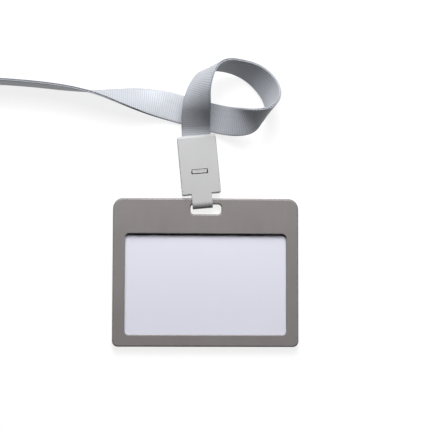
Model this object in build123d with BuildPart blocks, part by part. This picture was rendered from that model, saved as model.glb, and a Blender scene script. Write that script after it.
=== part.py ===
from build123d import *
import os
from math import cos, radians, sin, tan

# Badge holder on a neck lanyard, lying face up on a table. Millimetres, +Z up.
# The origin is the middle of the holder's back, which rests on the table; +Y points
# to the lanyard and +X to the right of the face.

os.makedirs("parts", exist_ok=True)

# ---------------------------------------------------------------- driving dimensions
# Holder outline
BADGE_WIDTH = 95.6
BADGE_HEIGHT = 76.3
BADGE_THICK = 4.6
TOP_CORNER = 5.4
BOTTOM_CORNER = 3.0
FACE_ROUND = 0.9
BACK_ROUND = 0.4

# Window in the face, and the clear lens glued behind its lip
WINDOW_WIDTH = 83.0
WINDOW_HEIGHT = 51.8
WINDOW_Y = -6.1
WINDOW_CORNER = 2.2
RIM_ROUND = 0.5
LIP_THICK = 1.1
LENS_THICK = 1.0
LENS_WIDTH = 87.6
LENS_HEIGHT = 56.0
LENS_GAP = 0.2

# Card of the common bank-card size, and the sliding back that carries it
CARD_WIDTH = 85.6
CARD_HEIGHT = 54.0
CARD_THICK = 0.76
CARD_CORNER = 3.18
CARD_GAP = 0.2
COVER_WIDTH = 87.6
COVER_TOP_Y = 22.8
COVER_THICK = 2.4
COVER_FLOOR = 1.6
RAIL_DEPTH = 1.3
RAIL_LOW = 0.7
RAIL_HIGH = 1.6
SLIDE_GAP = 0.15
GRIP_LINES = 6
GRIP_PITCH = 2.2
GRIP_LENGTH = 24.0
GRIP_FIRST_Y = -33.0

# Slot for the strap, and the recess in the back that the strap's rear leg lies in
SLOT_WIDTH = 15.9
SLOT_HEIGHT = 5.1
SLOT_X = 0.05
SLOT_Y = 32.5
SLOT_CORNER = 1.8
SLOT_ROUND = 0.8
BAR_ROUND = 0.5
RECESS_WIDTH = 29.0
RECESS_DEPTH = 2.2
RECESS_Y = 28.0

# Clip, turned a little on the holder
CLIP_X = -3.7
CLIP_Y = 55.5
CLIP_TURN = 5.5
CLIP_WIDTH = 20.0
CLIP_LENGTH = 30.5
CLIP_THICK = 6.5
CLIP_SPLIT = 3.4
CLIP_CORNER = 0.8
CLIP_EDGE = 0.45
SEAM_GAP = 0.1
MOUTH_BEVEL = 1.3
POCKET_WIDTH = 15.6
POCKET_START = 3.0
POCKET_HALF = 1.0
TOOTH_COUNT = 3
TOOTH_PITCH = 3.0
TOOTH_HEIGHT = 0.2
PEG_RADIUS = 0.6
PEG_HEIGHT = 1.5
PEG_X = 8.6
PEG_Y = 12.6
LATCH_WIDTH = 8.6
LATCH_HEIGHT = 2.5
LATCH_Y = -3.6

# Strap of the clip: front leg, fold through the slot, rear leg with its catch
STRAP_WIDTH = 10.3
STRAP_THICK = 1.1
FOLD_RADIUS = 3.1
FOLD_Y = -19.63
HINGE_GAP = 0.05
CATCH_WIDTH = 7.4
CATCH_THICK = 1.4
CATCH_TOP = 5.9
CHANNEL_GAP = 0.3
CATCH_SWEEP = 0.8

# Neck ribbon: two strands of one folded ribbon lying face to face
RIBBON_WIDTH = 15.0
RIBBON_THICK = 0.72
STRAND_GAP = 0.04
SECTION_STEP = 5.0

# The ribbon's put-away length, wound on its edge
COIL_X = -141.0
COIL_Y = 75.5
COIL_RADIUS = 23.4
COIL_HOLE = 18.6
COIL_HEIGHT = 15.3
COIL_WAIST = 1.0
TIE_WIDTH = 6.0
TIE_THICK = 0.8
TIE_GAP = 0.1

# Points of the ribbon's middle line from inside the clip to the coil, each with the
# direction that runs across the ribbon's width at that point.
RIBBON_ROUTE = [
    ((-4.6, 65.5, 3.4), (1.00, 0.10, 0.00)),
    ((-5.2, 72.5, 3.4), (1.00, 0.10, 0.00)),
    ((-5.6, 79.4, 8.8), (0.98, 0.06, 0.20)),
    ((-5.0, 86.5, 15.8), (0.87, -0.07, 0.48)),
    ((-3.6, 95.1, 18.9), (0.66, -0.05, 0.75)),
    ((0.1, 103.1, 17.4), (0.62, 0.13, 0.78)),
    ((6.8, 106.8, 12.6), (0.44, 0.23, 0.87)),
    ((15.7, 106.5, 8.5), (0.31, 0.29, 0.91)),
    ((25.5, 102.8, 6.9), (0.48, 0.41, 0.78)),
    ((32.8, 95.4, 6.7), (0.56, 0.40, 0.72)),
    ((34.9, 87.8, 9.1), (0.46, 0.27, 0.85)),
    ((32.0, 81.8, 12.2), (0.13, 0.15, 0.98)),
    ((25.0, 78.4, 13.6), (-0.05, 0.56, 0.83)),
    ((17.8, 77.0, 10.9), (-0.12, 0.92, 0.37)),
    ((10.5, 78.4, 4.8), (0.05, 1.00, 0.08)),
    ((1.5, 80.8, 1.2), (0.21, 0.98, 0.00)),
    ((-9.0, 83.7, 1.1), (0.28, 0.96, 0.00)),
    ((-20.0, 86.6, 1.5), (0.25, 0.96, -0.07)),
    ((-31.0, 88.6, 3.8), (0.19, 0.88, -0.43)),
    ((-43.0, 90.3, 6.4), (0.12, 0.62, -0.78)),
    ((-56.0, 92.3, 7.7), (0.04, 0.22, -0.97)),
    ((-71.0, 94.4, 7.8), (0.00, 0.02, -1.00)),
    ((-87.0, 96.2, 7.8), (0.00, 0.00, -1.00)),
    ((-102.0, 97.3, 7.8), (0.00, 0.00, -1.00)),
    ((-116.0, 97.8, 7.8), (0.00, 0.00, -1.00)),
    ((-129.0, 98.0, 7.8), (0.00, 0.00, -1.00)),
]

# ---------------------------------------------------------------- working planes
clip_turn = radians(CLIP_TURN)
clip_across = (cos(clip_turn), sin(clip_turn), 0)
clip_plane = Plane(origin=(CLIP_X, CLIP_Y, 0), x_dir=clip_across, z_dir=(0, 0, 1))
clip_side = Plane(origin=(CLIP_X, CLIP_Y, 0), x_dir=clip_plane.y_dir, z_dir=clip_plane.x_dir)
lens_top = BADGE_THICK - LIP_THICK
lens_bottom = lens_top - LENS_THICK
pocket_top = lens_bottom
leg_low = CLIP_SPLIT - FOLD_RADIUS
leg_high = leg_low + STRAP_THICK


def save(name, part):
    """Label one finished piece and write it as a node."""
    part.label = name
    export_step(part, f"parts/{name}.step")


# ---------------------------------------------------------------- front frame
with BuildPart() as front_frame:
    with BuildSketch() as outline:
        Rectangle(BADGE_WIDTH, BADGE_HEIGHT)
        fillet(outline.vertices().group_by(Axis.Y)[-1], TOP_CORNER)
        fillet(outline.vertices().group_by(Axis.Y)[0], BOTTOM_CORNER)
    extrude(amount=BADGE_THICK)
    fillet(front_frame.faces().sort_by(Axis.Z)[-1].edges(), FACE_ROUND)
    fillet(front_frame.faces().sort_by(Axis.Z)[0].edges(), BACK_ROUND)
    # recess that leaves a thin bar above the slot
    with BuildSketch() as strap_recess:
        with Locations((SLOT_X, RECESS_Y)):
            Rectangle(RECESS_WIDTH, BADGE_HEIGHT, align=(Align.CENTER, Align.MIN))
    extrude(amount=RECESS_DEPTH, mode=Mode.SUBTRACT)
    bar_edges = front_frame.edges().filter_by(Axis.X).group_by(Axis.Y)[-1]
    fillet(bar_edges.filter_by_position(Axis.Z, RECESS_DEPTH - 0.01, RECESS_DEPTH + 0.01), BAR_ROUND)
    with BuildSketch() as strap_slot:
        with Locations((SLOT_X, SLOT_Y)):
            RectangleRounded(SLOT_WIDTH, SLOT_HEIGHT, SLOT_CORNER)
    extrude(amount=BADGE_THICK, mode=Mode.SUBTRACT)
    slot_rims = front_frame.edges().filter_by_position(
        Axis.Y, SLOT_Y - SLOT_HEIGHT / 2 - 0.01, SLOT_Y + SLOT_HEIGHT / 2 + 0.01
    ).filter_by_position(Axis.X, SLOT_X - SLOT_WIDTH / 2 - 0.01, SLOT_X + SLOT_WIDTH / 2 + 0.01)
    fillet(slot_rims.filter_by(Axis.Z, reverse=True), SLOT_ROUND)
    # window, with its rim rounded
    with BuildSketch(Plane.XY.offset(lens_top)) as window:
        with Locations((0, WINDOW_Y)):
            RectangleRounded(WINDOW_WIDTH, WINDOW_HEIGHT, WINDOW_CORNER)
    extrude(amount=LIP_THICK, mode=Mode.SUBTRACT)
    window_rim = front_frame.faces().filter_by(Plane.XY).sort_by(Axis.Z)[-1].inner_wires()
    fillet(window_rim.sort_by(SortBy.LENGTH)[-1].edges(), RIM_ROUND)
    # pocket for the lens behind the lip
    with BuildSketch(Plane.XY.offset(lens_bottom)) as lens_pocket:
        with Locations((0, WINDOW_Y)):
            Rectangle(LENS_WIDTH + 2 * LENS_GAP, LENS_HEIGHT + 2 * LENS_GAP)
    extrude(amount=LENS_THICK, mode=Mode.SUBTRACT)
    # way for the sliding back, open at the bottom edge, with a groove on each side
    with BuildSketch(Plane.XZ.offset(-COVER_TOP_Y - SLIDE_GAP)) as cover_way:
        Rectangle(COVER_WIDTH + 2 * SLIDE_GAP, pocket_top, align=(Align.CENTER, Align.MIN))
        with Locations((0, RAIL_LOW - SLIDE_GAP)):
            Rectangle(
                COVER_WIDTH + 2 * RAIL_DEPTH + 2 * SLIDE_GAP,
                RAIL_HIGH - RAIL_LOW + 2 * SLIDE_GAP,
                align=(Align.CENTER, Align.MIN),
            )
    extrude(amount=BADGE_HEIGHT, mode=Mode.SUBTRACT)
save("front_frame", front_frame.part)

# ---------------------------------------------------------------- lens
with BuildPart() as front_window:
    with BuildSketch(Plane.XY.offset(lens_bottom)) as lens_outline:
        with Locations((0, WINDOW_Y)):
            RectangleRounded(LENS_WIDTH, LENS_HEIGHT, WINDOW_CORNER)
    extrude(amount=LENS_THICK)
save("front_window", front_window.part)

# ---------------------------------------------------------------- sliding back
cover_length = BADGE_HEIGHT / 2 + COVER_TOP_Y
cover_middle = COVER_TOP_Y - cover_length / 2
with BuildPart() as rear_cover:
    with BuildSketch() as cover_plate:
        with Locations((0, cover_middle)):
            Rectangle(COVER_WIDTH, cover_length)
    extrude(amount=COVER_THICK)
    with BuildSketch(Plane.XY.offset(RAIL_LOW)) as cover_rails:
        with Locations((0, cover_middle)):
            Rectangle(COVER_WIDTH + 2 * RAIL_DEPTH, cover_length)
    extrude(amount=RAIL_HIGH - RAIL_LOW)
    with BuildSketch(Plane.XY.offset(COVER_FLOOR)) as card_tray:
        with Locations((0, WINDOW_Y)):
            RectangleRounded(CARD_WIDTH + 2 * CARD_GAP, CARD_HEIGHT + 2 * CARD_GAP, CARD_CORNER)
    extrude(amount=COVER_THICK - COVER_FLOOR, mode=Mode.SUBTRACT)
    with BuildSketch() as grip:
        with Locations((0, GRIP_FIRST_Y + (GRIP_LINES - 1) * GRIP_PITCH / 2)):
            with GridLocations(0, GRIP_PITCH, 1, GRIP_LINES):
                SlotOverall(GRIP_LENGTH, GRIP_PITCH / 2)
    extrude(amount=BACK_ROUND, mode=Mode.SUBTRACT)
save("rear_cover", rear_cover.part)

# ---------------------------------------------------------------- card
with BuildPart() as insert_card:
    with BuildSketch(Plane.XY.offset(COVER_FLOOR)) as card_outline:
        with Locations((0, WINDOW_Y)):
            RectangleRounded(CARD_WIDTH, CARD_HEIGHT, CARD_CORNER)
    extrude(amount=CARD_THICK)
save("insert_card", insert_card.part)

# ---------------------------------------------------------------- clip
pocket_length = CLIP_LENGTH / 2 - POCKET_START
pocket_middle = POCKET_START + pocket_length / 2
tooth_low = CLIP_SPLIT - POCKET_HALF
peg_places = [(-PEG_X, PEG_Y), (PEG_X, PEG_Y), (-PEG_X, -PEG_Y), (PEG_X, -PEG_Y)]


def strap_outline(start):
    """Side view of the strap's front leg and its fold, as an outline on clip_side."""
    outer = FOLD_RADIUS
    inner = FOLD_RADIUS - STRAP_THICK
    front_inside = CLIP_SPLIT + inner
    Polyline((FOLD_Y, front_inside), (start, front_inside), (start, CLIP_THICK), (FOLD_Y, CLIP_THICK))
    ThreePointArc((FOLD_Y, CLIP_THICK), (FOLD_Y - outer, CLIP_SPLIT), (FOLD_Y, CLIP_SPLIT - outer))
    Line((FOLD_Y, CLIP_SPLIT - outer), (FOLD_Y, CLIP_SPLIT - inner))
    ThreePointArc((FOLD_Y, CLIP_SPLIT - inner), (FOLD_Y - inner, CLIP_SPLIT), (FOLD_Y, front_inside))


with BuildPart() as clip_front_plate:
    with BuildSketch(clip_plane.offset(CLIP_SPLIT + SEAM_GAP / 2)) as front_body:
        RectangleRounded(CLIP_WIDTH, CLIP_LENGTH, CLIP_CORNER)
    extrude(amount=CLIP_THICK - CLIP_SPLIT - SEAM_GAP / 2)
    fillet(clip_front_plate.faces().sort_by(Axis.Z)[-1].edges(), CLIP_EDGE)
    # bevel along the mouth that the ribbon comes out of
    with BuildSketch(clip_side.offset(-CLIP_WIDTH / 2)) as mouth_bevel:
        with BuildLine():
            Polyline(
                (CLIP_LENGTH / 2 - MOUTH_BEVEL, CLIP_THICK),
                (CLIP_LENGTH / 2, CLIP_THICK),
                (CLIP_LENGTH / 2, CLIP_THICK - MOUTH_BEVEL),
                close=True,
            )
        make_face()
    extrude(amount=CLIP_WIDTH, mode=Mode.SUBTRACT)
    with BuildSketch(clip_plane.offset(CLIP_SPLIT)) as front_pocket:
        with Locations((0, pocket_middle)):
            Rectangle(POCKET_WIDTH, pocket_length + 2 * CLIP_CORNER)
    extrude(amount=POCKET_HALF, mode=Mode.SUBTRACT)
    with BuildSketch(clip_plane.offset(CLIP_SPLIT)) as front_peg_holes:
        with Locations(*peg_places):
            Circle(PEG_RADIUS + SEAM_GAP)
    extrude(amount=PEG_HEIGHT + SEAM_GAP, mode=Mode.SUBTRACT)
    with BuildSketch(clip_plane.offset(CLIP_SPLIT)) as latch_window:
        with Locations((0, LATCH_Y)):
            RectangleRounded(LATCH_WIDTH, LATCH_HEIGHT, SEAM_GAP * 3)
    extrude(amount=CLIP_THICK, mode=Mode.SUBTRACT)
    with BuildSketch(clip_side.offset(-STRAP_WIDTH / 2)) as strap_side:
        with BuildLine():
            strap_outline(CLIP_EDGE * 2 - CLIP_LENGTH / 2)
        make_face()
    extrude(amount=STRAP_WIDTH)
save("clip_front_plate", clip_front_plate.part)

with BuildPart() as clip_rear_plate:
    with BuildSketch(clip_plane) as rear_body:
        RectangleRounded(CLIP_WIDTH, CLIP_LENGTH, CLIP_CORNER)
    extrude(amount=CLIP_SPLIT - SEAM_GAP / 2)
    fillet(clip_rear_plate.faces().sort_by(Axis.Z)[0].edges(), CLIP_EDGE)
    with BuildSketch(clip_plane.offset(tooth_low)) as rear_pocket:
        with Locations((0, pocket_middle)):
            Rectangle(POCKET_WIDTH, pocket_length + 2 * CLIP_CORNER)
    extrude(amount=POCKET_HALF, mode=Mode.SUBTRACT)
    with BuildSketch(clip_plane.offset(tooth_low)) as teeth:
        with Locations((0, pocket_middle)):
            with GridLocations(0, TOOTH_PITCH, 1, TOOTH_COUNT):
                Rectangle(POCKET_WIDTH, TOOTH_PITCH / 3)
    extrude(amount=TOOTH_HEIGHT)
    # channel in the back for the strap's rear leg, and the way up for its catch
    with BuildSketch(clip_plane) as leg_channel:
        with Locations((0, LATCH_Y + LATCH_HEIGHT)):
            Rectangle(STRAP_WIDTH + 2 * CHANNEL_GAP, CLIP_LENGTH, align=(Align.CENTER, Align.MAX))
    extrude(amount=leg_high + CHANNEL_GAP / 2, mode=Mode.SUBTRACT)
    with BuildSketch(clip_plane) as catch_way:
        with Locations((0, LATCH_Y)):
            Rectangle(LATCH_WIDTH, LATCH_HEIGHT + CATCH_SWEEP)
    extrude(amount=CLIP_SPLIT, mode=Mode.SUBTRACT)
    with BuildSketch(clip_plane.offset(CLIP_SPLIT - SEAM_GAP / 2)) as pegs:
        with Locations(*peg_places):
            Circle(PEG_RADIUS)
    extrude(amount=PEG_HEIGHT)
save("clip_rear_plate", clip_rear_plate.part)

leg_end = LATCH_Y + LATCH_HEIGHT / 2
with BuildPart() as strap_rear_leg:
    with BuildSketch(clip_plane.offset(leg_low)) as leg:
        with Locations((0, (FOLD_Y + HINGE_GAP + leg_end) / 2)):
            Rectangle(STRAP_WIDTH, leg_end - FOLD_Y - HINGE_GAP)
        fillet(leg.vertices().group_by(Axis.Y)[-1], CLIP_CORNER)
    extrude(amount=STRAP_THICK)
    with BuildSketch(clip_plane.offset(leg_high)) as catch:
        with Locations((0, LATCH_Y)):
            RectangleRounded(CATCH_WIDTH, CATCH_THICK, SEAM_GAP * 2)
    extrude(amount=CATCH_TOP - leg_high)
save("strap_rear_leg", strap_rear_leg.part)


# ---------------------------------------------------------------- neck ribbon
def corner_radii(points):
    """Largest arc radius that each inner corner's two runs allow."""
    radii = []
    for before, corner, after in zip(points, points[1:], points[2:]):
        run_in = corner - before
        run_out = after - corner
        half_turn = radians(run_in.get_angle(run_out)) / 2
        radii.append(0.45 * min(run_in.length, run_out.length) / tan(half_turn))
    return radii


def across_at(share, marks, across):
    """Direction across the ribbon at this share of the route, between its points."""
    for low, high, first, second in zip(marks, marks[1:], across, across[1:]):
        if share <= high:
            mix = (share - low) / (high - low)
            return first * (1 - mix) + second * mix
    return across[-1]


route_points = [Vector(*point) for point, direction in RIBBON_ROUTE]
route_across = [Vector(*direction) for point, direction in RIBBON_ROUTE]
route_radii = corner_radii(route_points)
with BuildLine() as route:
    FilletPolyline(*route_points, radius=route_radii)
route_wire = route.wire()
run_lengths = [(b - a).length for a, b in zip(route_points, route_points[1:])]
route_marks = [sum(run_lengths[:index]) / sum(run_lengths) for index in range(len(route_points))]
section_count = round(route_wire.length / SECTION_STEP)

section_planes = []
for index in range(section_count + 1):
    share = index / section_count
    tangent = route_wire % share
    across = across_at(share, route_marks, route_across)
    across = across - tangent * across.dot(tangent)
    section_planes.append(Plane(origin=route_wire @ share, x_dir=across, z_dir=tangent))


def section_corners(plane, side):
    """The four corners of one strand's section, in order round it."""
    near = side * STRAND_GAP / 2
    far = side * (STRAND_GAP / 2 + RIBBON_THICK)
    half = RIBBON_WIDTH / 2
    corners = ((-half, near), (half, near), (half, far), (-half, far))
    return [plane.from_local_coords(Vector(x, y, 0)) for x, y in corners]


def ribbon_strand(side):
    """One strand as flat facets between sections, because a twisted ribbon has no plain sweep."""
    rings = [section_corners(plane, side) for plane in section_planes]
    facets = [Face(Wire.make_polygon(rings[0])), Face(Wire.make_polygon(rings[-1]))]
    for ring, following in zip(rings, rings[1:]):
        for corner, beside in ((0, 1), (1, 2), (3, 2), (0, 3)):
            # the same diagonal on both faces keeps the strand equally thick in its twists
            facets.append(Face(Wire.make_polygon([ring[corner], ring[beside], following[beside]])))
            facets.append(Face(Wire.make_polygon([ring[corner], following[beside], following[corner]])))
    return Solid(Shell(facets)).fix()


print("ribbon radii:", [round(radius, 1) for radius in route_radii])
for name, side in (("ribbon_upper_strand", -1), ("ribbon_lower_strand", 1)):
    with BuildPart() as strand:
        add(ribbon_strand(side))
    expected = RIBBON_WIDTH * RIBBON_THICK * route_wire.length
    print(name, "volume", round(strand.part.volume), "section x length", round(expected))
    save(name, strand.part)

# ---------------------------------------------------------------- coil and its tie
tie_length = COIL_RADIUS - COIL_HOLE + 6 * TIE_GAP
with BuildPart() as ribbon_coil:
    with BuildSketch() as coil_ring:
        with Locations((COIL_X, COIL_Y)):
            Circle(COIL_RADIUS)
            Circle(COIL_HOLE, mode=Mode.SUBTRACT)
    extrude(amount=COIL_HEIGHT)
    # waist that the tie pulls in, below and above
    with BuildSketch() as tie_place:
        with Locations((COIL_X - COIL_RADIUS, COIL_Y)):
            Rectangle(2 * tie_length, TIE_WIDTH + 4 * TIE_GAP)
    extrude(amount=COIL_WAIST, mode=Mode.SUBTRACT)
    with BuildSketch(Plane.XY.offset(COIL_HEIGHT - COIL_WAIST)) as tie_place_above:
        with Locations((COIL_X - COIL_RADIUS, COIL_Y)):
            Rectangle(2 * tie_length, TIE_WIDTH + 4 * TIE_GAP)
    extrude(amount=COIL_WAIST, mode=Mode.SUBTRACT)
save("ribbon_coil", ribbon_coil.part)

tie_height = COIL_HEIGHT - 2 * COIL_WAIST + 2 * TIE_GAP
tie_plane = Plane(origin=(COIL_X - COIL_RADIUS - TIE_GAP, COIL_Y, 0), x_dir=(1, 0, 0), z_dir=(0, -1, 0))
with BuildPart() as coil_tie:
    with BuildSketch(tie_plane.offset(-TIE_WIDTH / 2)) as tie_loop:
        with Locations((tie_length / 2, COIL_HEIGHT / 2)):
            Rectangle(tie_length + 2 * TIE_THICK, tie_height + 2 * TIE_THICK)
            Rectangle(tie_length, tie_height, mode=Mode.SUBTRACT)
    extrude(amount=TIE_WIDTH)
save("coil_tie", coil_tie.part)
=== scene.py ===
import math

import bpy
import numpy as np
from mathutils import Matrix, Vector


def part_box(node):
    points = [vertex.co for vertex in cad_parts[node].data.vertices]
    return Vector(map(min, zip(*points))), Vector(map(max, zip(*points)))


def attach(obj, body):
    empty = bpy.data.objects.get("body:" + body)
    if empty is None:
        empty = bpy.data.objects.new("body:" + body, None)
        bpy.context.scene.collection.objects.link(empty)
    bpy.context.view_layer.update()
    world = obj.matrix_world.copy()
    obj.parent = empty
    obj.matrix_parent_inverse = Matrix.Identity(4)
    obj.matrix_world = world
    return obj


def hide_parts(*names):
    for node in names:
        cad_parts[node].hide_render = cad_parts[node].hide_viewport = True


# A badge holder on its neck ribbon, lying face up on a pale table. Metres, in the
# frame of the CAD model: +Z up, +Y towards the clip, origin under the holder.

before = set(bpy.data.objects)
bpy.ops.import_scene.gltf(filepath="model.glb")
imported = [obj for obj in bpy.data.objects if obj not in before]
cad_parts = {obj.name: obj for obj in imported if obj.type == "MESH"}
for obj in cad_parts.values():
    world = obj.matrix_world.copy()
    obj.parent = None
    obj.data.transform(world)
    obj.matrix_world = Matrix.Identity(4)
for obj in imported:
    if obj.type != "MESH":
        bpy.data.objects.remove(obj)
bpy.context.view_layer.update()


# ---------------------------------------------------------------- camera
VIEW_SPAN = 0.2230          # width of table that the picture covers
CAMERA_DISTANCE = 0.70
CAMERA_NEAR = 0.01
LOOK_AT = Vector((0.0049, 0.0299, 0.0))
CAMERA_LEAN = Vector((-0.045, -0.080, 1.0))     # from the aim point, a little low and left
CAMERA_ROLL = math.radians(0.15)
SENSOR = 36.0


def make_camera():
    """The camera stands over the holder, with +Y up in the picture."""
    data = bpy.data.cameras.new("camera")
    data.sensor_width = SENSOR
    data.lens = SENSOR * CAMERA_DISTANCE / VIEW_SPAN
    data.clip_start = CAMERA_NEAR
    camera = bpy.data.objects.new("camera", data)
    bpy.context.collection.objects.link(camera)
    backward = CAMERA_LEAN.normalized()
    right = Vector((0, 1, 0)).cross(backward).normalized()
    up = backward.cross(right)
    turn = Matrix((right, up, backward)).transposed().to_4x4()
    camera.matrix_world = Matrix.Translation(LOOK_AT + backward * CAMERA_DISTANCE) @ turn
    camera.matrix_world = camera.matrix_world @ Matrix.Rotation(CAMERA_ROLL, 4, "Z")
    bpy.context.scene.camera = camera


make_camera()


# ---------------------------------------------------------------- mesh helpers
SPLINE_STEPS = 24           # points read from each span of a spline


def new_piece(name, verts, faces, smooth=True):
    """A mesh object of these points and faces, put in the scene."""
    mesh = bpy.data.meshes.new(name)
    mesh.from_pydata([tuple(vert) for vert in verts], [], faces)
    mesh.update()
    mesh.polygons.foreach_set("use_smooth", [smooth] * len(mesh.polygons))
    piece = bpy.data.objects.new(name, mesh)
    bpy.context.collection.objects.link(piece)
    return piece


def sweep_faces(ring, count):
    """Faces of a closed tape: quads between its rings of points, and a cap at each end."""
    faces = []
    for low in range(0, ring * (count - 1), ring):
        high = low + ring
        for corner in range(ring):
            beside = (corner + 1) % ring
            faces.append((low + corner, low + beside, high + beside, high + corner))
    last = ring * (count - 1)
    faces.append(tuple(reversed(range(ring))))
    faces.append(tuple(range(last, last + ring)))
    return faces


def spline_points(points):
    """Points read from a NURBS spline of order 3 with these control points."""
    curve = bpy.data.curves.new("guide", "CURVE")
    curve.dimensions = "3D"
    spline = curve.splines.new("NURBS")
    spline.points.add(len(points) - 1)
    for control, point in zip(spline.points, points):
        control.co = (point[0], point[1], point[2], 1.0)
    spline.order_u = 3
    spline.use_endpoint_u = True
    spline.resolution_u = SPLINE_STEPS
    guide = bpy.data.objects.new("guide", curve)
    bpy.context.collection.objects.link(guide)
    bpy.context.view_layer.update()
    solved = guide.evaluated_get(bpy.context.evaluated_depsgraph_get())
    mesh = bpy.data.meshes.new_from_object(solved)
    found = np.array([vert.co[:] for vert in mesh.vertices])
    bpy.data.objects.remove(guide)
    bpy.data.curves.remove(curve)
    bpy.data.meshes.remove(mesh)
    return found


def unit(rows):
    """Each row, a vector, brought to length 1."""
    return rows / np.linalg.norm(rows, axis=1)[:, None]


def running_length(points):
    """The distance along a line of points, from its start to each of them."""
    steps = np.linalg.norm(np.diff(points, axis=0), axis=1)
    return np.concatenate([[0.0], np.cumsum(steps)])


def ease(share):
    """A share from 0 to 1, with a soft start and a soft end."""
    return share**2 * (3 - 2 * share)


# ---------------------------------------------------------------- the ribbon's line
RIBBON_WIDTH = 0.015
RIBBON_THICK = 0.00072      # of one strand
STRAND_GAP = 0.00004        # between the two strands, which lie face to face
STRAND_LENGTH = 0.45
RIB_PITCH = 0.0011
STEPS_PER_RIB = 4

# The route's points, as in the CAD model, each with the direction across the ribbon.
RIBBON_ROUTE = [
    ((-0.0046, 0.0655, 0.0034), (1.00, 0.10, 0.00)),
    ((-0.0052, 0.0725, 0.0034), (1.00, 0.10, 0.00)),
    ((-0.0056, 0.0794, 0.0088), (0.98, 0.06, 0.20)),
    ((-0.0050, 0.0865, 0.0158), (0.87, -0.07, 0.48)),
    ((-0.0036, 0.0951, 0.0189), (0.66, -0.05, 0.75)),
    ((0.0001, 0.1031, 0.0174), (0.62, 0.13, 0.78)),
    ((0.0068, 0.1068, 0.0126), (0.44, 0.23, 0.87)),
    ((0.0157, 0.1065, 0.0085), (0.31, 0.29, 0.91)),
    ((0.0255, 0.1028, 0.0069), (0.48, 0.41, 0.78)),
    ((0.0328, 0.0954, 0.0067), (0.56, 0.40, 0.72)),
    ((0.0349, 0.0878, 0.0091), (0.46, 0.27, 0.85)),
    ((0.0320, 0.0818, 0.0122), (0.13, 0.15, 0.98)),
    ((0.0250, 0.0784, 0.0136), (-0.05, 0.56, 0.83)),
    ((0.0178, 0.0770, 0.0109), (-0.12, 0.92, 0.37)),
    ((0.0105, 0.0784, 0.0048), (0.05, 1.00, 0.08)),
    ((0.0015, 0.0808, 0.0012), (0.21, 0.98, 0.00)),
    ((-0.0090, 0.0837, 0.0011), (0.28, 0.96, 0.00)),
    ((-0.0200, 0.0866, 0.0015), (0.25, 0.96, -0.07)),
    ((-0.0310, 0.0886, 0.0038), (0.19, 0.88, -0.43)),
    ((-0.0430, 0.0903, 0.0064), (0.12, 0.62, -0.78)),
    ((-0.0560, 0.0923, 0.0077), (0.04, 0.22, -0.97)),
    ((-0.0710, 0.0944, 0.0078), (0.00, 0.02, -1.00)),
    ((-0.0870, 0.0962, 0.0078), (0.00, 0.00, -1.00)),
    ((-0.1020, 0.0973, 0.0078), (0.00, 0.00, -1.00)),
    ((-0.1160, 0.0978, 0.0078), (0.00, 0.00, -1.00)),
    ((-0.1290, 0.0980, 0.0078), (0.00, 0.00, -1.00)),
]

# The coil's turns, on their edge, work inwards from the end of that route.
COIL_TURNS = 1.6            # more than the strands need, so that they end inside it
COIL_RADIUS = 0.0225
COIL_PITCH = 0.0021
COIL_POINTS = 14            # points in each turn
COIL_HEIGHT = 0.0078
COIL_START = math.radians(64)
coil_low, coil_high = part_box("ribbon_coil")
coil_middle = (coil_low + coil_high) / 2


def coil_points():
    """The route's points in the coil, each with the direction across the ribbon."""
    points = []
    for index in range(1, round(COIL_TURNS * COIL_POINTS) + 1):
        turn = index / COIL_POINTS
        angle = COIL_START + 2 * math.pi * turn
        radius = COIL_RADIUS - COIL_PITCH * turn
        x = coil_middle.x + radius * math.cos(angle)
        y = coil_middle.y + radius * math.sin(angle)
        points.append(((x, y, COIL_HEIGHT), (0.0, 0.0, -1.0)))
    return points


def ribbon_line():
    """The ribbon's middle line from inside the clip to its far fold, at even steps: the
    distance from its start, its places, and its directions along, across and up."""
    route = RIBBON_ROUTE + coil_points()
    middle = spline_points([Vector(place) for place, across in route])
    edge = spline_points(
        [Vector(place) + Vector(across).normalized() * RIBBON_WIDTH / 2 for place, across in route]
    )
    distance = running_length(middle)
    print("ribbon route length", distance[-1])
    stations = np.arange(0.0, min(STRAND_LENGTH, distance[-1]), RIB_PITCH / STEPS_PER_RIB)

    def at_stations(rows):
        return np.stack([np.interp(stations, distance, rows[:, axis]) for axis in range(3)], axis=1)

    places = at_stations(middle)
    along = unit(np.gradient(places, axis=0))
    across = at_stations(edge - middle)
    across = unit(across - along * np.sum(across * along, axis=1)[:, None])
    return stations, places, along, across, np.cross(across, along)


stations, line_places, line_along, line_across, line_up = ribbon_line()


# ---------------------------------------------------------------- the ribbon's two strands
RIB_HEIGHT = 0.000065
SCALLOP = 0.0001            # how far each rib stands out at the ribbon's edges

# The tie draws the ribbon's edges in a little where it goes round the coil.
PINCH = 0.0009
PINCH_REACH = 0.0045

# The strands part just before the fold at the back of the neck, where they join.
EYE_RADIUS = 0.0013
EYE_LENGTH = 0.012
EYE_STEPS = 18

# Places across a tape's section, closer together towards its rounded edges.
COLUMNS = [-1.0, -0.985, -0.95, -0.88, -0.7, -0.5, -0.25, 0.0, 0.25, 0.5, 0.7, 0.88, 0.95, 0.985, 1.0]
EDGE_SQUARENESS = 40


def half_widths():
    """Half the ribbon's width at each station, between its ribs."""
    on_tied_side = line_places[:, 0] < coil_middle.x - COIL_RADIUS / 2
    from_tie = (line_places[:, 1] - coil_middle.y) / PINCH_REACH
    drawn_in = np.where(on_tied_side, PINCH * np.exp(-from_tie**2), 0.0)
    return RIBBON_WIDTH / 2 - SCALLOP - drawn_in


def partings():
    """How far the strands have parted at each station, from 0 to 1."""
    return ease(np.clip((stations - stations[-1]) / EYE_LENGTH + 1, 0.0, 1.0))


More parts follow.
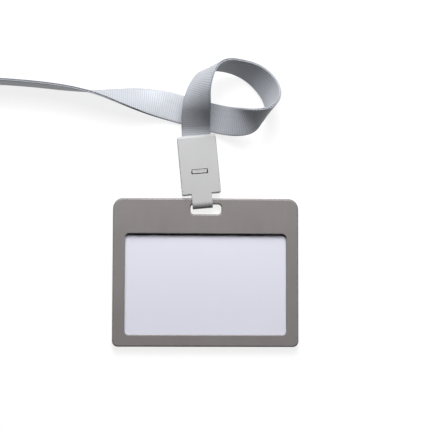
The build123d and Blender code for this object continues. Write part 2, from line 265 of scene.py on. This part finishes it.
def tape_section():
    """Round a tape's section: places across it, and through it, from -1 to 1."""
    edge = [math.sqrt(max(0.0, 1 - abs(column) ** EDGE_SQUARENESS)) for column in COLUMNS]
    top = list(zip(COLUMNS, edge))
    under = [(column, -height) for column, height in top[-2:0:-1]]
    return np.array(top + under).T


def strand_frames(side):
    """Places, directions across and up, half width and distance along one strand. The
    lower strand parts from the upper one and carries the fold that joins them."""
    half = half_widths()
    centre = side * (RIBBON_THICK + STRAND_GAP) / 2 * np.ones(len(stations))
    if side < 0:
        centre = centre - partings() * (2 * EYE_RADIUS - RIBBON_THICK - STRAND_GAP)
    places = line_places + line_up * centre[:, None]
    if side > 0:
        return places, line_across, line_up, half, stations
    turn = np.linspace(0.0, math.pi, EYE_STEPS + 1)[1:, None]
    along, up = line_along[-1], line_up[-1]
    middle_of_eye = places[-1] + up * EYE_RADIUS
    eye = middle_of_eye + EYE_RADIUS * (along * np.sin(turn) - up * np.cos(turn))
    return (
        np.vstack([places, eye]),
        np.vstack([line_across, np.tile(line_across[-1], (EYE_STEPS, 1))]),
        np.vstack([line_up, up * np.cos(turn) - along * np.sin(turn)]),
        np.concatenate([half, np.full(EYE_STEPS, half[-1])]),
        np.concatenate([stations, stations[-1] + EYE_RADIUS * turn[:, 0]]),
    )


def make_strand(name, side):
    """One strand as a mesh with its ribs and scalloped edges, the path that it follows,
    and its length. Its UV map holds each point's distance along the strand and across it."""
    places, across, up, half, marks = strand_frames(side)
    columns, through = tape_section()
    rib = (0.5 + 0.5 * np.cos(2 * np.pi * marks / RIB_PITCH))[:, None]
    wide = columns * (half[:, None] + SCALLOP * rib)
    deep = through * (RIBBON_THICK / 2 - RIB_HEIGHT + RIB_HEIGHT * rib * abs(through))
    grid = places[:, None, :] + wide[:, :, None] * across[:, None, :]
    grid = grid + deep[:, :, None] * up[:, None, :]
    ring = len(columns)
    piece = new_piece(name, grid.reshape(-1, 3), sweep_faces(ring, len(marks)))
    weave = np.stack([np.repeat(marks, ring), wide.reshape(-1)], axis=1).astype(np.float32)
    corners = np.empty(len(piece.data.loops), dtype=np.int32)
    piece.data.loops.foreach_get("vertex_index", corners)
    weave_map = piece.data.uv_layers.new(name="weave")
    weave_map.data.foreach_set("uv", weave[corners].ravel())
    return piece, places[::STEPS_PER_RIB], marks[-1]


upper_strand, upper_path, upper_length = make_strand("ribbon_upper", 1)
lower_strand, lower_path, lower_length = make_strand("ribbon_lower", -1)


# ---------------------------------------------------------------- the coil's tie
TIE_WIDTH = 0.006
TIE_THICK = 0.0007
TIE_CORNER = 0.0011
TIE_CLEARANCE = 0.0001      # from the ribbon's drawn-in edges
TIE_DEPTHS = (0.0006, 0.0046)           # of its inner faces, in from the coil's outer side
TIE_LAP = 0.0085            # length of the end that laps over the outside
LAP_GAP = 0.00006
TIP_NARROWING = 0.8
START_POINTS = 8
CORNER_STEPS = 7
LAP_STEPS = 13


def tie_outline():
    """Middle line of the tie, once round the coil's section and then over its own start."""
    low_x = coil_low.x + TIE_DEPTHS[0] - TIE_THICK / 2
    high_x = coil_low.x + TIE_DEPTHS[1] + TIE_THICK / 2
    half_height = RIBBON_WIDTH / 2 - PINCH + TIE_CLEARANCE + TIE_THICK / 2
    low_z, high_z = COIL_HEIGHT - half_height, COIL_HEIGHT + half_height
    left, right = low_x + TIE_CORNER, high_x - TIE_CORNER
    bottom, top = low_z + TIE_CORNER, high_z - TIE_CORNER
    start_z = COIL_HEIGHT - TIE_LAP / 2
    points = [(low_x, z) for z in np.linspace(start_z, top, START_POINTS)]
    corners = [(left, top, 180), (right, top, 90), (right, bottom, 0), (left, bottom, -90)]
    for x, z, first in corners:
        for step in range(CORNER_STEPS + 1):
            angle = math.radians(first - 90 * step / CORNER_STEPS)
            points.append((x + TIE_CORNER * math.cos(angle), z + TIE_CORNER * math.sin(angle)))
    # the lap rides out over the start, and then lies flat on it
    for share in np.linspace(0.0, 1.0, LAP_STEPS + 1)[1:]:
        z = bottom + share * (start_z + TIE_LAP - bottom)
        rise = min(1.0, max(0.0, (z - bottom) / (start_z - bottom)))
        points.append((low_x - (TIE_THICK + LAP_GAP) * ease(rise), z))
    return np.array(points)


def make_tie():
    """A tape with rounded edges that follows the outline, and narrows at its lapped end."""
    line = tie_outline()
    along = unit(np.gradient(line, axis=0))
    outward = np.stack([-along[:, 1], along[:, 0]], axis=1)
    distance = running_length(line)
    from_tip = (distance[-1] - distance) / (TIE_WIDTH / 2)
    half = TIE_WIDTH / 2 * np.sqrt(1 - TIP_NARROWING * np.clip(1 - from_tip, 0, 1) ** 2)
    columns, through = tape_section()
    verts = []
    for point, out, width in zip(line, outward, half):
        for column, height in zip(columns, through):
            x, z = point + out * height * TIE_THICK / 2
            verts.append((x, coil_middle.y + column * width, z))
    return new_piece("storage_tie", verts, sweep_faces(len(columns), len(line)))


storage_tie = make_tie()


# ---------------------------------------------------------------- materials
class Surface:
    """A procedural material: one Principled shader and the nodes that feed it."""

    def __init__(self, name, color, roughness, **sockets):
        self.material = bpy.data.materials.new(name)
        self.material.use_nodes = True
        self.nodes = self.material.node_tree.nodes
        self.links = self.material.node_tree.links
        self.shader = self.nodes["Principled BSDF"]
        self.shader.inputs["Base Color"].default_value = (*color, 1.0)
        self.shader.inputs["Roughness"].default_value = roughness
        for socket, value in sockets.items():
            self.shader.inputs[socket.replace("_", " ")].default_value = value

    def put(self, socket, value):
        """Link a socket to another, or set it to a plain value."""
        if isinstance(value, bpy.types.NodeSocket):
            self.links.new(value, socket)
        else:
            socket.default_value = value

    def math(self, operation, *values):
        """A math node's result, from values that are sockets or plain numbers."""
        node = self.nodes.new("ShaderNodeMath")
        node.operation = operation
        for socket, value in zip(node.inputs, values):
            self.put(socket, value)
        return node.outputs[0]

    def ramp(self, value, low, high, start=0.0, end=1.0):
        """value from low..high, brought to start..end and held there."""
        node = self.nodes.new("ShaderNodeMapRange")
        self.put(node.inputs["Value"], value)
        self.put(node.inputs["From Min"], low)
        self.put(node.inputs["From Max"], high)
        self.put(node.inputs["To Min"], start)
        self.put(node.inputs["To Max"], end)
        return node.outputs[0]

    def place(self):
        """The point's own place in the CAD frame, in metres."""
        return self.nodes.new("ShaderNodeTexCoord").outputs["Object"]

    def uv_map(self, name):
        node = self.nodes.new("ShaderNodeUVMap")
        node.uv_map = name
        return node.outputs[0]

    def split(self, vector):
        """A vector's x, y and z."""
        node = self.nodes.new("ShaderNodeSeparateXYZ")
        self.links.new(vector, node.inputs[0])
        return node.outputs[0], node.outputs[1], node.outputs[2]

    def stretched(self, vector, scale):
        """The vector multiplied by scale, which are cells to the metre for a noise on it."""
        node = self.nodes.new("ShaderNodeMapping")
        self.links.new(vector, node.inputs["Vector"])
        node.inputs["Scale"].default_value = scale
        return node.outputs[0]

    def noise(self, vector, scale=1.0, detail=2.0, rough=0.5):
        """Noise with scale cells to the metre, or to the stretched vector's unit."""
        node = self.nodes.new("ShaderNodeTexNoise")
        self.links.new(vector, node.inputs["Vector"])
        node.inputs["Scale"].default_value = scale
        node.inputs["Detail"].default_value = detail
        node.inputs["Roughness"].default_value = rough
        return node.outputs["Fac"]

    def mix(self, share, first, second):
        """The first colour at share 0, and the second at share 1."""
        node = self.nodes.new("ShaderNodeMix")
        node.data_type = "RGBA"
        self.put(node.inputs[0], share)
        # inputs 6 and 7 are this node's two colours, and output 2 is their mix
        for socket, color in ((node.inputs[6], first), (node.inputs[7], second)):
            self.put(socket, (*color, 1.0) if isinstance(color, tuple) else color)
        return node.outputs[2]

    def bump(self, height, depth, strength):
        """A normal from a height, of which 1 stands for depth metres."""
        node = self.nodes.new("ShaderNodeBump")
        self.put(node.inputs["Height"], height)
        node.inputs["Distance"].default_value = depth
        node.inputs["Strength"].default_value = strength
        return node.outputs[0]

    def feed(self, **sockets):
        """Link these values to the shader's sockets, and give the finished material."""
        for socket, value in sockets.items():
            self.links.new(value, self.shader.inputs[socket.replace("_", " ")])
        return self.material


GRAIN = 0.00025             # size of the spark-eroded grain
EDGE_WIDTH = 0.0012         # of the rubbed band along an outer edge
FLOW_SHARE = 0.07           # how far the flow marks go towards the pale colour
RUB_SHARE = 0.35            # how far the rubbed edge goes towards it


def moulded_plastic(name, color, pale, roughness, grain=GRAIN, edge=None):
    """Satin injection-moulded plastic: spark-eroded grain, faint flow marks and scuffs.
    edge says how far from the frame's middle, along x and y, the edges are rubbed pale."""
    surface = Surface(name, color, roughness)
    place = surface.place()
    flow_color = tuple((1 - FLOW_SHARE) * dull + FLOW_SHARE * bright for dull, bright in zip(color, pale))
    flow = surface.ramp(surface.noise(place, scale=55.0, detail=3.0), low=0.3, high=0.7)
    tone = surface.mix(flow, color, flow_color)
    if edge is not None:
        x, y, _ = surface.split(place)
        near_side = surface.ramp(surface.math("ABSOLUTE", x), edge[0] - EDGE_WIDTH, edge[0])
        near_end = surface.ramp(surface.math("ABSOLUTE", y), edge[1] - EDGE_WIDTH, edge[1])
        near_edge = surface.math("MAXIMUM", near_side, near_end)
        patches = surface.ramp(surface.noise(place, scale=420.0, detail=4.0), low=0.42, high=0.72)
        rubbed = surface.math("MULTIPLY", near_edge, patches)
        tone = surface.mix(surface.math("MULTIPLY", rubbed, RUB_SHARE), tone, pale)
    scuff = surface.noise(surface.stretched(place, (900.0, 60.0, 900.0)), detail=2.0)
    rough = surface.ramp(scuff, low=0.35, high=0.75, start=roughness - 0.04, end=roughness + 0.07)
    grain_height = surface.noise(place, scale=1 / grain, detail=3.0, rough=0.6)
    normal = surface.bump(grain_height, depth=0.000012, strength=0.55)
    return surface.feed(Base_Color=tone, Roughness=rough, Normal=normal)


WARP_PITCH = 0.0003
SELVEDGE = 0.0009           # width of the tighter edge
UNEVEN_SCALE = (1 / 0.012, 1 / 0.0015, 1.0)     # patches 12 mm along the ribbon by 1.5 mm across
SLUB_SCALE = (1 / 0.0005, 1 / 0.004, 1.0)       # slubs 0.5 mm along by 4 mm across
THREAD_HEIGHT = (0.175, 0.5)                    # in the selvedge, and inside it
SLUB_HEIGHT = 0.8


def ribbed_satin(name, color, shade, roughness):
    """Silver satin ribbon: cross ribs with painted shade in their grooves, fine warp threads and a
    tighter selvedge, laid out by the strand's UV map."""
    surface = Surface(
        name,
        color,
        roughness,
        Metallic=0.05,
        Anisotropic=0.3,
        Specular_IOR_Level=0.35,
        Sheen_Weight=0.12,
        Sheen_Roughness=0.35,
    )
    weave = surface.uv_map("weave")
    along, over, _ = surface.split(weave)
    rib = surface.math("COSINE", surface.math("MULTIPLY", along, 2 * math.pi / RIB_PITCH))
    warp = surface.math("COSINE", surface.math("MULTIPLY", over, 2 * math.pi / WARP_PITCH))
    from_edge = surface.math("SUBTRACT", RIBBON_WIDTH / 2, surface.math("ABSOLUTE", over))
    uneven = surface.noise(surface.stretched(weave, UNEVEN_SCALE), detail=3.0)
    slub = surface.noise(surface.stretched(weave, SLUB_SCALE), detail=2.0)
    # painted shade in the rib grooves, plus a darker selvedge and darker patches here and there
    groove_shade_and_tone = surface.ramp(rib, low=-1.0, high=0.2, start=0.40, end=0.0)
    for darker in (
        surface.ramp(uneven, low=0.3, high=0.7, end=0.10),
        surface.ramp(from_edge, low=SELVEDGE * 0.8, high=SELVEDGE, start=0.12, end=0.0),
        surface.ramp(slub, low=0.35, high=0.75, end=0.10),
    ):
        groove_shade_and_tone = surface.math("ADD", groove_shade_and_tone, darker)
    thread_height = surface.ramp(from_edge, SELVEDGE, SELVEDGE * 1.1, *THREAD_HEIGHT)
    threads = surface.math("MULTIPLY", warp, thread_height)
    height = surface.math("ADD", threads, surface.math("MULTIPLY", slub, SLUB_HEIGHT))
    tangent = surface.nodes.new("ShaderNodeTangent")
    tangent.direction_type = "UV_MAP"
    tangent.uv_map = "weave"
    return surface.feed(
        Base_Color=surface.mix(groove_shade_and_tone, color, shade),
        Roughness=surface.ramp(uneven, low=0.3, high=0.7, start=roughness - 0.04, end=roughness + 0.06),
        Normal=surface.bump(height, depth=0.00002, strength=0.5),
        Tangent=tangent.outputs[0],
    )


def blank_card(name, color, pale):
    """Satin card stock: fine fibres and an almost invisible mottle."""
    surface = Surface(name, color, roughness=0.5)
    place = surface.place()
    mottle = surface.ramp(surface.noise(place, scale=90.0, detail=2.0), low=0.3, high=0.7, end=0.4)
    fibre = surface.noise(surface.stretched(place, (900.0, 2600.0, 900.0)), detail=4.0)
    return surface.feed(
        Base_Color=surface.mix(mottle, color, pale),
        Normal=surface.bump(fibre, depth=0.000006, strength=0.4),
    )


def clear_sheet(name, color):
    """Clear polished sheet with a trace of haze from handling."""
    surface = Surface(name, color, roughness=0.06, Transmission_Weight=1.0, IOR=1.2)
    haze = surface.noise(surface.stretched(surface.place(), (70.0, 160.0, 70.0)), detail=5.0)
    return surface.feed(Roughness=surface.ramp(haze, low=0.45, high=0.8, start=0.02, end=0.06))


def woven_tie(name, color, shade):
    """Soft looped tie tape: a plain weave with a napped face."""
    surface = Surface(name, color, roughness=0.85, Sheen_Weight=0.4)
    threads = surface.noise(surface.stretched(surface.place(), (2500.0, 2500.0, 1200.0)), detail=3.0)
    return surface.feed(
        Base_Color=surface.mix(surface.ramp(threads, low=0.35, high=0.65), shade, color),
        Normal=surface.bump(threads, depth=0.00015, strength=0.8),
    )


def outer_edge(node):
    """How far a node reaches from the frame's middle, along x and towards -y."""
    low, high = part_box(node)
    return high[0], -low[1]


def wear(node, material):
    """Give a CAD node its material."""
    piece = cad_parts[node]
    piece.data.materials.clear()
    piece.data.materials.append(material)


WARM_GREY = (0.154, 0.141, 0.138)
RUBBED_GREY = (0.34, 0.33, 0.32)

frame_material = moulded_plastic(
    "frame_grey", WARM_GREY, RUBBED_GREY, roughness=0.40, edge=outer_edge("front_frame")
)
cover_material = moulded_plastic(
    "cover_grey", WARM_GREY, RUBBED_GREY, roughness=0.44, edge=outer_edge("rear_cover")
)
clip_material = moulded_plastic(
    "clip_white", (0.360, 0.360, 0.364), (0.49, 0.49, 0.485), roughness=0.38, grain=0.0003
)
ribbon_material = ribbed_satin(
    "ribbon_silver", (0.38, 0.397, 0.43), shade=(0.165, 0.175, 0.20), roughness=0.47
)
card_material = blank_card("card_white", (0.545, 0.545, 0.611), pale=(0.56, 0.56, 0.624))
lens_material = clear_sheet("lens_clear", (0.97, 0.97, 0.985))
tie_material = woven_tie("tie_white", (0.72, 0.72, 0.73), shade=(0.5, 0.5, 0.52))

wear("front_frame", frame_material)
wear("rear_cover", cover_material)
wear("front_window", lens_material)
wear("insert_card", card_material)
for node in ("clip_front_plate", "clip_rear_plate", "strap_rear_leg"):
    wear(node, clip_material)
for piece in (upper_strand, lower_strand):
    piece.data.materials.append(ribbon_material)
storage_tie.data.materials.append(tie_material)

# the clear sheet lets the lamps' and the room's light straight through to the card
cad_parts["front_window"].visible_shadow = False
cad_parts["front_window"].visible_diffuse = False


# ---------------------------------------------------------------- how the pieces go with the CAD
for piece in (upper_strand, lower_strand, storage_tie):
    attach(piece, "lanyard")
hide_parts("ribbon_upper_strand", "ribbon_coil")
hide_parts("ribbon_lower_strand")
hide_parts("coil_tie")


# ---------------------------------------------------------------- table and light
TABLE_HALF = 3.0
TABLE_STEP = 0.001          # from each of its planes down to the next
TABLE_COLOR = (0.15, 0.15, 0.15)
# How brightly each kind of ray sees the table.
TABLE_GLOW = {"camera": 0.84, "diffuse": 0.65, "glossy": 0.70}

LAMP_DISTANCE = 0.65
# Each soft lamp's bearing from +X and height in degrees, size in metres and power in watts.
LAMPS = {
    "window": (100, 38, 0.36, 4.6),
    "ceiling": (84, 55, 0.36, 4.3),
}

WALL_COLOR = (0.97, 0.985, 1.0)
WALL_GLOW = 0.85
CEILING_GLOW = 0.05
WALL_TOP = 0.10             # sines of the heights where the fade starts and ends
CEILING_START = 0.55


def make_table():
    """The pale table: one plane for each kind of ray, just under one another."""
    corners = [(TABLE_HALF * x, TABLE_HALF * y) for x, y in ((-1, -1), (1, -1), (1, 1), (-1, 1))]
    for step, (ray, glow) in enumerate(TABLE_GLOW.items()):
        verts = [(x, y, -TABLE_STEP * step) for x, y in corners]
        floor = new_piece("table_" + ray, verts, [(0, 1, 2, 3)], smooth=False)
        lit = Surface("table_white_" + ray, TABLE_COLOR, roughness=0.8, Emission_Strength=glow)
        lit.shader.inputs["Emission Color"].default_value = (1.0, 1.0, 1.0, 1.0)
        grain = lit.noise(lit.place(), scale=300.0)
        floor.data.materials.append(lit.feed(Normal=lit.bump(grain, depth=0.00002, strength=0.2)))
        floor.visible_camera = ray == "camera"
        floor.visible_diffuse = ray == "diffuse"
        floor.visible_glossy = ray == "glossy"


def soft_lamp(name, bearing, height, size, power):
    """A square lamp that faces the middle of the picture."""
    data = bpy.data.lights.new(name, "AREA")
    data.shape = "SQUARE"
    data.size = size
    data.energy = power
    lamp = bpy.data.objects.new(name, data)
    bpy.context.collection.objects.link(lamp)
    turn, rise = math.radians(bearing), math.radians(height)
    aim = Vector((math.cos(rise) * math.cos(turn), math.cos(rise) * math.sin(turn), math.sin(rise)))
    lamp.location = LOOK_AT + aim * LAMP_DISTANCE
    lamp.rotation_euler = aim.to_track_quat("Z", "Y").to_euler()


def make_studio():
    """Pale walls that fade into a darker ceiling. They show in the picture and in gloss."""
    world = bpy.data.worlds.new("studio")
    bpy.context.scene.world = world
    world.use_nodes = True
    nodes, links = world.node_tree.nodes, world.node_tree.links
    direction = nodes.new("ShaderNodeTexCoord").outputs["Generated"]
    split = nodes.new("ShaderNodeSeparateXYZ")
    links.new(direction, split.inputs[0])
    fade = nodes.new("ShaderNodeMapRange")
    fade.inputs["From Min"].default_value = WALL_TOP
    fade.inputs["From Max"].default_value = CEILING_START
    fade.inputs["To Min"].default_value = WALL_GLOW
    fade.inputs["To Max"].default_value = CEILING_GLOW
    links.new(split.outputs[2], fade.inputs["Value"])
    links.new(fade.outputs[0], nodes["Background"].inputs["Strength"])
    nodes["Background"].inputs["Color"].default_value = (*WALL_COLOR, 1.0)
    world.cycles_visibility.diffuse = False


make_table()
for name, lamp in LAMPS.items():
    soft_lamp(name, *lamp)
make_studio()
bpy.context.scene.view_settings.view_transform = "Standard"
